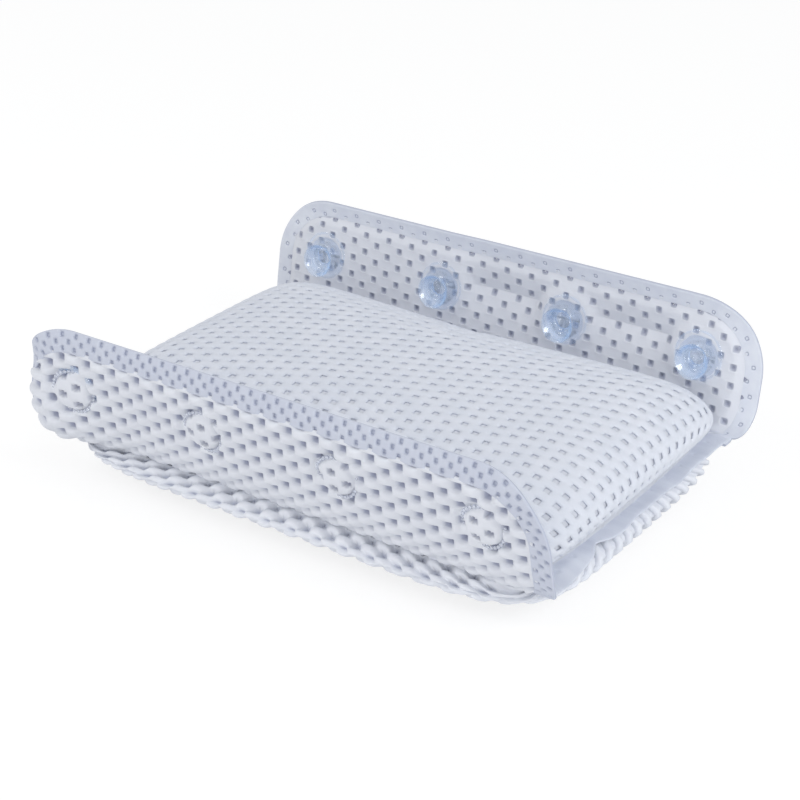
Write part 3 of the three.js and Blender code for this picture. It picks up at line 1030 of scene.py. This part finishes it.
def one_per_seat(model, kind, seat):
    made = {}
    for name, table in tables.items():
        for number, x_cup in enumerate(CUP_PLACES, 1):
            only(model)
            bpy.ops.object.duplicate()
            piece = bpy.context.object
            piece.name = f"{name}_{kind}_{number}"
            seat(piece, table, -table["side"] * x_cup)
            made[name, number] = piece
    print(kind, len(made), "with", len(model.data.polygons), "faces each")
    bpy.data.objects.remove(model)
    return made


cups = one_per_seat(spin_cup(), "suction_cup", seat_cup)

# %% [markdown]
# Behind each cup the weld shows on the outer side as a ring of small clear beads. One bead is a
# flattened ball, and spinning it with copies makes the ring. Only two arcs of a ring stand clear of
# the cobbles, so the rest of it is sunk into them.

# %% Bead the weld rings
BEAD_COUNT = 30
BEAD_RADIUS = 1.1 * MM
BEAD_PROUD = 0.6 * MM
BEAD_SUNK = 2.2 * MM


def bead_ring():
    bpy.ops.mesh.primitive_ico_sphere_add(subdivisions=2, radius=BEAD_RADIUS, location=(0, 0, 0))
    ring = bpy.context.object
    pick(ring, everything)
    bpy.ops.transform.resize(value=(1, 1, 0.8), center_override=(0, 0, 0))
    bpy.ops.transform.translate(value=(RING_RADIUS, 0, 0))
    bpy.ops.mesh.spin(steps=BEAD_COUNT, dupli=True, angle=2 * math.pi, center=(0, 0, 0), axis=(0, 0, 1))
    select_all()
    bpy.ops.mesh.remove_doubles(threshold=0.01 * MM)
    face_outwards()
    bpy.ops.object.shade_smooth()
    return ring


def seat_ring(ring, table, x_seat):
    def place(x, y, z):
        sunk = BEAD_SUNK * (1 - bead_show(table, x_seat + x, CUP_SEAT + y))
        return on_flap(table, x_seat + x, CUP_SEAT + y, BEAD_PROUD - sunk + z)

    lay_on(ring, place)


rings = one_per_seat(bead_ring(), "bead_ring", seat_ring)

# %% [markdown]
# Materials are trees of nodes, and a few small tools keep them short: they add a node and set its
# inputs, mix two colours, draw wires, and mix two shaders for the surface. A Mix node has sockets for
# every kind of data, so those for colours are reached by number.

# %% Tools for materials
COLOUR_A, COLOUR_B, COLOUR_OUT = 6, 7, 2


def set_inputs(node, values):
    for label, value in values.items():
        node.inputs[label].default_value = value
    return node


def add_node(tree, kind, values=()):
    return set_inputs(tree.nodes.new("ShaderNode" + kind), dict(values))


def colour_mix(tree):
    mix = add_node(tree, "Mix")
    mix.data_type = "RGBA"
    return mix


def wire(tree, *wires):
    for start, out, end, into in wires:
        tree.links.new(start.outputs[out], end.inputs[into])


def mix_to_surface(tree, output, first, second):
    mix = add_node(tree, "MixShader")
    wire(tree, (first, 0, mix, 1), (second, 0, mix, 2), (mix, 0, tree.nodes[output], "Surface"))
    return mix


def new_material(name):
    material = bpy.data.materials.new(name)
    material.use_nodes = True
    return material, material.node_tree


print("material tools ready")

# %% [markdown]
# Foamed vinyl is matt and faintly mottled, with pores finer than a millimetre. Mesh, borders and
# filling share that skin, so it is one node group with its own scale and strength in each material.

# %% A node group for foam skin
FOAM_INPUTS = {
    "Vector": "Vector", "Tint": "Color", "Shade": "Color", "Mottle size": "Float", "Pore size": "Float"
}
FOAM_OUTPUTS = {"Color": "Color", "Roughness": "Float", "Height": "Float"}


def foam_skin_group():
    group = bpy.data.node_groups.new("foam skin", "ShaderNodeTree")
    for way, kinds in (("INPUT", FOAM_INPUTS), ("OUTPUT", FOAM_OUTPUTS)):
        for label, kind in kinds.items():
            group.interface.new_socket(label, in_out=way, socket_type="NodeSocket" + kind)
    given = group.nodes.new("NodeGroupInput")
    result = group.nodes.new("NodeGroupOutput")
    mottle = add_node(group, "TexNoise", {"Detail": 3})
    pores = add_node(group, "TexNoise", {"Detail": 4, "Roughness": 0.65})
    spread = add_node(group, "MapRange", {"From Min": 0.35, "From Max": 0.65})
    rough = add_node(group, "MapRange", {"To Min": 0.55, "To Max": 0.85})
    tone = colour_mix(group)
    wire(
        group,
        (given, "Vector", mottle, "Vector"),
        (given, "Vector", pores, "Vector"),
        (given, "Mottle size", mottle, "Scale"),
        (given, "Pore size", pores, "Scale"),
        (mottle, "Fac", spread, "Value"),
        (spread, "Result", tone, "Factor"),
        (given, "Tint", tone, COLOUR_A),
        (given, "Shade", tone, COLOUR_B),
        (pores, "Fac", rough, "Value"),
        (tone, COLOUR_OUT, result, "Color"),
        (rough, "Result", result, "Roughness"),
        (pores, "Fac", result, "Height"),
    )
    return group


foam_skin = foam_skin_group()
print("group", foam_skin.name, "with", len(foam_skin.nodes), "nodes")

# %% [markdown]
# Each foam material places that group, stretched where the pressing has drawn the skin into fine
# streaks, and turns its height into a small bump. Where a piece has marked painted shade, the colour
# goes towards the deep one. The face is the flaps' mesh painted lighter, with lighter painted shade
# in its holes, as painted light for the belly under the flap.

# %% Foam materials
# Deep is the colour that the painted shade in holes and dents goes towards.
FOAMS = {
    "cobble foam": {
        "tint": (0.72, 0.74, 0.795), "shade": (0.685, 0.705, 0.765), "deep": (0.46, 0.48, 0.59),
        "mottle": 60, "pore": 900, "bump": 0.2 * MM,
    },
    # The cobble foam painted lighter, with lighter painted shade, as painted light for the belly under
    # the flap.
    "face foam painted lighter": {
        "tint": (0.80, 0.82, 0.875), "shade": (0.765, 0.785, 0.845), "deep": (0.72, 0.74, 0.80),
        "mottle": 60, "pore": 900, "bump": 0.2 * MM,
    },
    "flat foam": {
        "tint": (0.725, 0.75, 0.82), "shade": (0.69, 0.72, 0.795), "deep": (0.74, 0.76, 0.81),
        "mottle": 60, "pore": 1000, "bump": 0.15 * MM,
    },
    "pressed vinyl": {
        "tint": (0.73, 0.76, 0.83), "shade": (0.685, 0.715, 0.80), "deep": (0.55, 0.57, 0.65),
        "mottle": 140, "pore": 1400, "bump": 0.1 * MM,
    },
    "streaked vinyl": {
        "tint": (0.68, 0.71, 0.79), "shade": (0.60, 0.63, 0.72),
        "mottle": 120, "pore": 500, "bump": 0.6 * MM, "stretch": (0.12, 1, 0.12),
    },
    "fibre": {
        "tint": (0.70, 0.72, 0.78), "shade": (0.65, 0.67, 0.73),
        "mottle": 300, "pore": 1200, "bump": 0.6 * MM,
    },
}


def foam_material(name, tint, shade, mottle, pore, bump, stretch=(1, 1, 1), deep=(0.62, 0.64, 0.70)):
    material, tree = new_material(name)
    shader = set_inputs(tree.nodes["Principled BSDF"], {"Specular IOR Level": 0.3})
    where = add_node(tree, "TexCoord")
    mapping = add_node(tree, "Mapping", {"Scale": stretch})
    skin = add_node(tree, "Group")
    skin.node_tree = foam_skin
    sizes = {"Mottle size": mottle, "Pore size": pore}
    set_inputs(skin, {"Tint": (*tint, 1), "Shade": (*shade, 1), **sizes})
    relief = add_node(tree, "Bump", {"Distance": bump, "Strength": 0.6})
    # The painted shade marked on a piece mixes its colour towards the deep one.
    painted_shade = add_node(tree, "Attribute")
    painted_shade.attribute_name = "painted_shade"
    painted_shade_colour = [a * b for a, b in zip(shade, deep)]
    shaded = set_inputs(colour_mix(tree), {COLOUR_B: (*painted_shade_colour, 1)})
    wire(
        tree,
        (where, "Object", mapping, "Vector"),
        (mapping, "Vector", skin, "Vector"),
        (painted_shade, "Fac", shaded, "Factor"),
        (skin, "Color", shaded, COLOUR_A),
        (shaded, COLOUR_OUT, shader, "Base Color"),
        (skin, "Roughness", shader, "Roughness"),
        (skin, "Height", relief, "Height"),
        (relief, "Normal", shader, "Normal"),
    )
    return material


foams = {name: foam_material(name, **values) for name, values in FOAMS.items()}
print("foam materials", list(foams))

# %% [markdown]
# The cups are clear vinyl with a blue tint. Glass that bends light would keep the lamps from the
# mesh behind it, so the vinyl is thin and see-through instead: little tint where it is seen face on,
# and more towards its edges, as on the real cups. A small share of plain gloss gives it highlights
# that the see-through part would lose.

# %% Clear vinyl
def clear_material(name, tint, deep, rough, clear, shine):
    material, tree = new_material(name)
    shader = set_inputs(tree.nodes["Principled BSDF"], {"IOR": 1.8, "Roughness": rough})
    edge = add_node(tree, "LayerWeight", {"Blend": 0.4})
    cover = add_node(tree, "MapRange", {"From Min": 0.2, "To Min": clear[0], "To Max": clear[1]})
    where = add_node(tree, "TexCoord")
    haze = add_node(tree, "TexNoise", {"Scale": 90})
    tone = set_inputs(colour_mix(tree), {COLOUR_A: (*tint, 1), COLOUR_B: (*deep, 1)})
    wire(
        tree,
        (edge, "Facing", cover, "Value"),
        (cover, "Result", shader, "Alpha"),
        (where, "Object", haze, "Vector"),
        (haze, "Fac", tone, "Factor"),
        (tone, COLOUR_OUT, shader, "Base Color"),
    )
    gloss = add_node(tree, "BsdfGlossy", {"Roughness": rough})
    set_inputs(mix_to_surface(tree, "Material Output", shader, gloss), {"Fac": shine})
    return material


clear_vinyl = clear_material(
    "clear vinyl", (0.54, 0.73, 1.0), (0.45, 0.65, 0.97), rough=0.08, clear=(0.17, 0.85), shine=0.07
)
weld_beads = clear_material(
    "weld beads", (0.72, 0.76, 0.86), (0.62, 0.67, 0.80), rough=0.15, clear=(0.5, 0.9), shine=0.08
)
print("clear materials", clear_vinyl.name, weld_beads.name)

# %% [markdown]
# Now each piece gets its material, and the CAD part it stands for is hidden. The pad's pieces, side
# strips and fold beads get the pillow's body, and each cup and bead ring gets its flap's body; the
# flap sheets and borders are baked in place where they were laid. The cups are clear, so they cast
# no shadow.

# %% Dress and attach the pieces
def dress(piece, material, slot, *nodes):
    piece.data.materials.clear()
    piece.data.materials.append(material)
    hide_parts(*nodes)


dress(crown_net, foams["flat foam"], "flat_mesh", "back_panel")
# The cobbled face is painted lighter than the flaps' mesh, as painted light for the belly.
dress(face_net, foams["face foam painted lighter"], "cobble_mesh", "face_panel")
dress(filling, foams["fibre"], "filling", "filling_pad")
for piece in (crown_net, face_net, filling):
    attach(piece, "pillow")
for side, strip in side_strips.items():
    dress(strip, foams["streaked vinyl"], "weld_border", side + "_side_weld")
    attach(strip, "pillow")
for name, bar in fold_bars.items():
    dress(bar, foams["cobble foam"], "weld_border", name + "_fold_weld")
    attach(bar, "pillow")
for name, flap in FLAPS.items():
    body = name + "_flap"
    dress(flap_nets[name], foams["cobble foam"], "cobble_mesh", body + "_sheet")
    dress(flap_borders[name], foams["pressed vinyl"], "weld_border", body + "_border")
    for piece in (flap_nets[name], flap_borders[name]):
        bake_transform(piece)
    for number in range(1, 5):
        dress(cups[name, number], clear_vinyl, "clear_vinyl", f"{name}_cup_{number}")
        dress(rings[name, number], weld_beads, "clear_vinyl", f"{name}_weld_ring_{number}")
        cups[name, number].visible_shadow = False
        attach(cups[name, number], body)
        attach(rings[name, number], body)

# %% [markdown]
# The studio is a white sweep. To the camera, and in what the clear cups mirror and let through, the
# floor is mostly plain white, and the rest of it keeps the pillow's soft shadow.

# %% Floor
FLOOR_SIZE = 12
FLOOR_WHITE = 0.72


def seen_directly(tree, share):
    path = add_node(tree, "LightPath")
    total = (path, "Is Camera Ray")
    for ray in ("Is Glossy Ray", "Is Transmission Ray"):
        larger = add_node(tree, "Math")
        larger.operation = "MAXIMUM"
        wire(tree, (*total, larger, 0), (path, ray, larger, 1))
        total = (larger, "Value")
    scale = add_node(tree, "Math", {1: share})
    scale.operation = "MULTIPLY"
    wire(tree, (*total, scale, 0))
    return scale


def studio_floor():
    bpy.ops.mesh.primitive_plane_add(size=FLOOR_SIZE, location=(0, 0, 0))
    plane = bpy.context.object
    plane.name = "studio_floor"
    material, tree = new_material("studio floor")
    matt = {"Base Color": (0.9, 0.9, 0.9, 1), "Roughness": 0.9, "Specular IOR Level": 0.1}
    shader = set_inputs(tree.nodes["Principled BSDF"], matt)
    glow = add_node(tree, "Emission", {"Strength": 1.1})
    mix = mix_to_surface(tree, "Material Output", shader, glow)
    wire(tree, (seen_directly(tree, FLOOR_WHITE), "Value", mix, "Fac"))
    plane.data.materials.append(material)
    return plane


floor = studio_floor()
print("stage", floor.name)

# %% [markdown]
# Soft light comes from all round, with a broad lamp from the left front, which leaves the right end
# of every cobble in shade, a low one from the front for the belly under the flap, and a wide one from
# the right. Places are metres and powers are watts.

# %% Light
def area_lamp(name, place, target, size, power, colour):
    data = bpy.data.lights.new(name, "AREA")
    data.shape = "DISK"
    data.size = size
    data.energy = power
    data.color = colour
    lamp = bpy.data.objects.new(name, data)
    bpy.context.scene.collection.objects.link(lamp)
    lamp.location = place
    lamp.rotation_euler = (Vector(target) - Vector(place)).to_track_quat("-Z", "Y").to_euler()
    return lamp


def studio_world(strength):
    world = bpy.data.worlds.new("studio")
    bpy.context.scene.world = world
    world.use_nodes = True
    tree = world.node_tree
    sky = set_inputs(tree.nodes["Background"], {"Color": (0.97, 0.985, 1, 1), "Strength": strength})
    white = add_node(tree, "Background", {"Color": (1, 1, 1, 1)})
    mix = mix_to_surface(tree, "World Output", sky, white)
    wire(tree, (seen_directly(tree, 1), "Value", mix, "Fac"))


PAD_MIDDLE = (0, 0, 0.03)
BELLY = (0, -0.1, 0.02)
area_lamp("left front lamp", (-1.2, -1.1, 1.3), PAD_MIDDLE, size=0.8, power=9, colour=(1, 0.985, 0.965))
area_lamp("low front lamp", (0.5, -1.5, 0.15), BELLY, size=0.6, power=4.6, colour=(1, 1, 1))
area_lamp("right lamp", (1.4, -0.1, 1.1), PAD_MIDDLE, size=1.0, power=11, colour=(0.96, 0.98, 1))
studio_world(strength=0.6)

# %% [markdown]
# The camera stands where the photograph was taken, to the right of the front flap and a little
# above, and looks at the middle of the pillow.

# %% Camera
CAMERA_AZIMUTH = math.radians(34.72)
CAMERA_ELEVATION = math.radians(26.42)
CAMERA_DISTANCE = 1.058
CAMERA_TARGET = Vector((1.43 * MM, 0, 45.2 * MM))
PIXELS_PER_TANGENT = 1935.4
IMAGE_WIDTH = 800

camera_data = bpy.data.cameras.new("photo camera")
camera_data.sensor_width = 36
camera_data.lens = PIXELS_PER_TANGENT / IMAGE_WIDTH * camera_data.sensor_width
camera = bpy.data.objects.new("photo camera", camera_data)
bpy.context.scene.collection.objects.link(camera)
level = math.cos(CAMERA_ELEVATION)
right = math.sin(CAMERA_AZIMUTH) * level
front = -math.cos(CAMERA_AZIMUTH) * level
back = Vector((right, front, math.sin(CAMERA_ELEVATION)))
camera.location = CAMERA_TARGET + CAMERA_DISTANCE * back
camera.rotation_euler = (-back).to_track_quat("-Z", "Y").to_euler()
bpy.context.scene.camera = camera
bpy.context.scene.view_settings.view_transform = "Standard"
print("camera", [round(v, 3) for v in camera.location])
